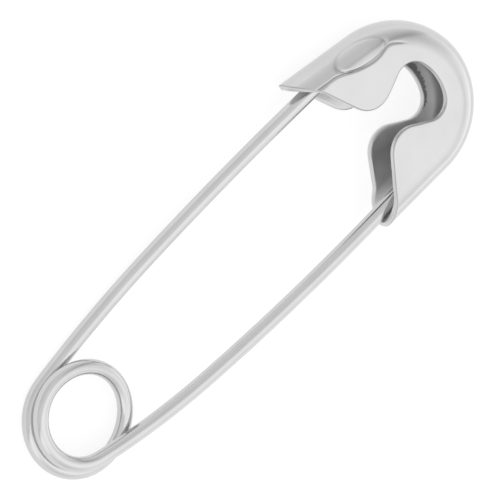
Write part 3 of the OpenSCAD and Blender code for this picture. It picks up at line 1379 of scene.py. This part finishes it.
    def sheet_faces(
        self, count: int, nodes: int, loop: np.ndarray, rings: int
    ) -> list[tuple[int, ...]]:
        """Join the outer surface, the inner surface and the lip between them.

        Args:
            count: number of rows.
            nodes: number of nodes in a row.
            loop: indices of the border.
            rings: number of rings in the lip.

        Returns:
            The faces of the closed mesh.
        """
        total = count * nodes
        faces = []
        for i in range(count - 1):
            for j in range(nodes - 1):
                a, b = i * nodes + j, (i + 1) * nodes + j
                faces.append((a, b, b + 1, a + 1))
                faces.append((total + a, total + a + 1, total + b + 1, total + b))
        size = len(loop)
        levels = [loop] + [2 * total + k * size + np.arange(size) for k in range(rings)]
        levels.append(total + loop)
        for high, low in zip(levels[:-1], levels[1:]):
            a, b = np.roll(high, -1), np.roll(low, -1)
            faces += [tuple(int(v) for v in quad) for quad in zip(high, a, b, low)]
        return faces

    def build(self, move: np.ndarray, wire: SpringWire) -> bpy.types.Object:
        """Build the head in its place.

        Args:
            move: the step from the coil's plan to the shared frame, in millimetres.
            wire: the wire, whose fixed arm ends in the head.

        Returns:
            The head as one piece.
        """
        height = self.rim_r + self.proud + wire.floor_z
        end = wire.fixed_line()[-wire.level_points // 2]
        grip = (end[1], end[2] - height, wire.wire_d / 2)
        points, faces, grain, outside = self.sheet(grip)
        piece = make_piece("head_sheet", (points + [0, 0, height] + move) * MM, faces, grain)
        # The inner surface and the lips take the second finish, whose lighter colour is painted
        # light.
        is_dull = np.array([min(face) >= outside for face in faces], np.int32)
        piece.data.polygons.foreach_set("material_index", is_dull)
        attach(piece, "frame")
        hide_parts("clasp_head")
        log.info("clasp head: %d faces", len(faces))
        return piece

    def dress(self, piece: bpy.types.Object) -> None:
        """Give the head its polished finish, and a duller one inside and on its edges, whose far
        lighter colour is painted light.

        Args:
            piece: the head.
        """
        outside = NickelPlate("head_nickel", grain_scale=(300, 2400, 1))
        inside = NickelPlate(
            "inside_nickel",
            bright=self.inside_bright,
            dull=self.inside_dull,
            rough=self.inside_rough,
            cloud_scale=420,
        )
        piece.data.materials.append(outside.make())
        piece.data.materials.append(inside.make())


@dataclass(frozen=True)
class Glow:
    """Wide brighter or darker patch of the sky."""

    name: str
    heading: float
    height: float
    focus: float
    strength: float

    def tone(self, bench: NodeBench, place: bpy.types.NodeSocket) -> bpy.types.NodeSocket:
        """Draw the patch.

        Args:
            bench: the bench of the sky's node tree.
            place: the direction in the sky.

        Returns:
            What the patch adds to the sky.
        """
        spread = bench.maths("SUBTRACT", bench.facing(place, self.heading, self.height), 1.0)
        bell = bench.maths("POWER", math.exp(self.focus), spread)
        shade = bench.maths("MULTIPLY", bell, self.strength)
        shade.node.label = self.name
        return shade


@dataclass(frozen=True)
class Panel:
    """Brighter half of the sky, with a darker frame along its edge."""

    heading: float = -90.0
    height: float = 10.0
    blur: float = 0.03
    strength: float = 0.13
    frame_place: float = -0.08
    frame_width: float = 0.13
    frame_strength: float = -0.14

    def tone(
        self, bench: NodeBench, place: bpy.types.NodeSocket
    ) -> tuple[bpy.types.NodeSocket, bpy.types.NodeSocket]:
        """Draw the panel and its frame.

        Args:
            bench: the bench of the sky's node tree.
            place: the direction in the sky.

        Returns:
            What the panel and its frame add to the sky.
        """
        facing = bench.facing(place, self.heading, self.height)
        share = bench.ranged(facing, (-self.blur, self.blur), (0, self.strength))
        offset = bench.maths("SUBTRACT", facing, self.frame_place)
        far = bench.maths("POWER", bench.maths("DIVIDE", offset, self.frame_width), 2.0)
        bell = bench.maths("POWER", math.exp(-1), far)
        return share, bench.maths("MULTIPLY", bell, self.frame_strength)


@dataclass(frozen=True)
class Studio:
    """Board, soft lights, sky and camera."""

    board_size: float = 6.0
    lens: float = 1000.0
    film: float = 36.0
    clip: tuple[float, float] = (0.1, 20.0)
    pixels: int = 500
    pixel_size: float = 0.125
    tilt: float = 32.0
    roll: float = 12.0
    heading: float = -52.56
    aim: tuple[float, float, float] = (0.748, -1.635, 2.078)
    sky_tone: float = 1.56
    glows: tuple[Glow, ...] = (
        Glow("low_shade", heading=-68, height=22, focus=25.0, strength=-0.33),
        Glow("end_shade", heading=-114, height=20, focus=5.0, strength=-0.62),
        Glow("nose_shade", heading=-48, height=41, focus=50.0, strength=-0.2),
        Glow("left_shade", heading=100, height=18, focus=1.5, strength=-0.68),
        Glow("head_shade", heading=4, height=32, focus=4.0, strength=-0.7),
        Glow("near_shade", heading=185, height=15, focus=3.0, strength=-0.35),
    )
    panel: Panel = field(default_factory=Panel)
    lamp_heading: float = 190.0
    lamp_height: float = 0.5
    lamp_reach: float = 0.8
    lamp_size: float = 0.6
    lamp_power: float = 0.2

    def stand(
        self, thing: bpy.types.Object, right: np.ndarray, up: np.ndarray, place: np.ndarray
    ) -> None:
        """Stand the camera or the lamp in its place.

        Args:
            thing: the camera or the lamp.
            right: the direction to its right.
            up: the direction over it.
            place: where it stands, in metres.
        """
        axes = np.eye(4)
        axes[:3, 0], axes[:3, 1], axes[:3, 2] = right, up, np.cross(right, up)
        axes[:3, 3] = place
        thing.matrix_world = Matrix(axes.tolist())
        bpy.context.scene.collection.objects.link(thing)

    def place_camera(self) -> None:
        """Aim a long lens at the pin from the photograph's angle."""
        away, level = (np.array([*ray(self.heading - turn), 0.0]) for turn in (0, 90))
        (cos_tilt, sin_tilt), (cos_roll, sin_roll) = ray(self.tilt), ray(self.roll)
        flat = cos_tilt * away + [0, 0, sin_tilt]
        right = cos_roll * flat - sin_roll * level
        up = -(sin_roll * flat + cos_roll * level)
        distance = self.pixels * self.pixel_size * MM * self.lens / self.film
        data = bpy.data.cameras.new("camera")
        data.lens, data.sensor_width = self.lens, self.film
        data.clip_start, data.clip_end = self.clip
        camera = bpy.data.objects.new("camera", data)
        place = np.array(self.aim) * MM + distance * np.cross(right, up)
        self.stand(camera, right, up, place)
        bpy.context.scene.camera = camera

    def lay_board(self) -> None:
        """Lay the pale board under the pin."""
        half = self.board_size / 2
        corners = [(-half, -half, 0), (half, -half, 0), (half, half, 0), (-half, half, 0)]
        mesh = bpy.data.meshes.new("board")
        mesh.from_pydata(corners, [], [(0, 1, 2, 3)])
        board = bpy.data.objects.new("board", mesh)
        board.data.materials.append(PaleBoard().make())
        bpy.context.scene.collection.objects.link(board)

    def light_sky(self) -> None:
        """Surround the pin with an even pale sky that a few wide glows change."""
        world = bpy.data.worlds.new("soft_sky")
        world.use_nodes = True
        bpy.context.scene.world = world
        bench = NodeBench(world.node_tree)
        place = bench.add("ShaderNodeTexCoord").outputs["Generated"]
        tone = self.sky_tone
        for glow in self.glows:
            tone = bench.maths("ADD", tone, glow.tone(bench, place))
        for part in self.panel.tone(bench, place):
            tone = bench.maths("ADD", tone, part)
        sky = bench.fill(bench.add("ShaderNodeBackground"), Color=tone, Strength=1.0)
        bench.fill(bench.add("ShaderNodeOutputWorld"), Surface=sky.outputs["Background"])

    def hang_lamp(self) -> None:
        """Hang one wide weak lamp that faces the pin from the near side."""
        place = np.array([*(self.lamp_reach * ray(self.lamp_heading)), self.lamp_height])
        data = bpy.data.lights.new("soft_lamp", "AREA")
        data.shape, data.size, data.energy = "DISK", self.lamp_size, self.lamp_power
        lamp = bpy.data.objects.new("soft_lamp", data)
        back = unit(place)
        right = unit(np.cross([0.0, 0.0, 1.0], back))
        self.stand(lamp, right, np.cross(back, right), place)

    def build(self) -> None:
        """Set up the board, the camera and the lights."""
        self.place_camera()
        self.lay_board()
        self.light_sky()
        self.hang_lamp()
        bpy.context.scene.view_settings.view_transform = "Standard"
        log.info("studio: camera, board and lights")


def frame_step(wire: SpringWire, head: ClaspHead) -> np.ndarray:
    """Find the step from the coil's plan to the shared frame.

    Args:
        wire: the spring wire.
        head: the clasp head.

    Returns:
        The step in millimetres.
    """
    left = wire.under_x - wire.turn_back_r - wire.wire_d / 2
    right = head.path.nose[0] + head.path.nose_r + head.rim_r
    low = head.path.nose[1] - head.path.nose_r - head.rim_r
    return np.array([-(left + right) / 2, -(low + head.top_y) / 2, -wire.floor_z])


def main() -> None:
    """Build and dress the pin, then set up its studio."""
    logging.basicConfig(level=logging.INFO, format="%(name)s: %(message)s")
    wire, head = SpringWire(), ClaspHead()
    move = frame_step(wire, head)
    Studio().build()
    spring = wire.build(move)
    wire.dress(spring)
    wire.carry(spring, move)
    sheet = head.build(move, wire)
    head.dress(sheet)


if __name__ == "__main__":
    main()
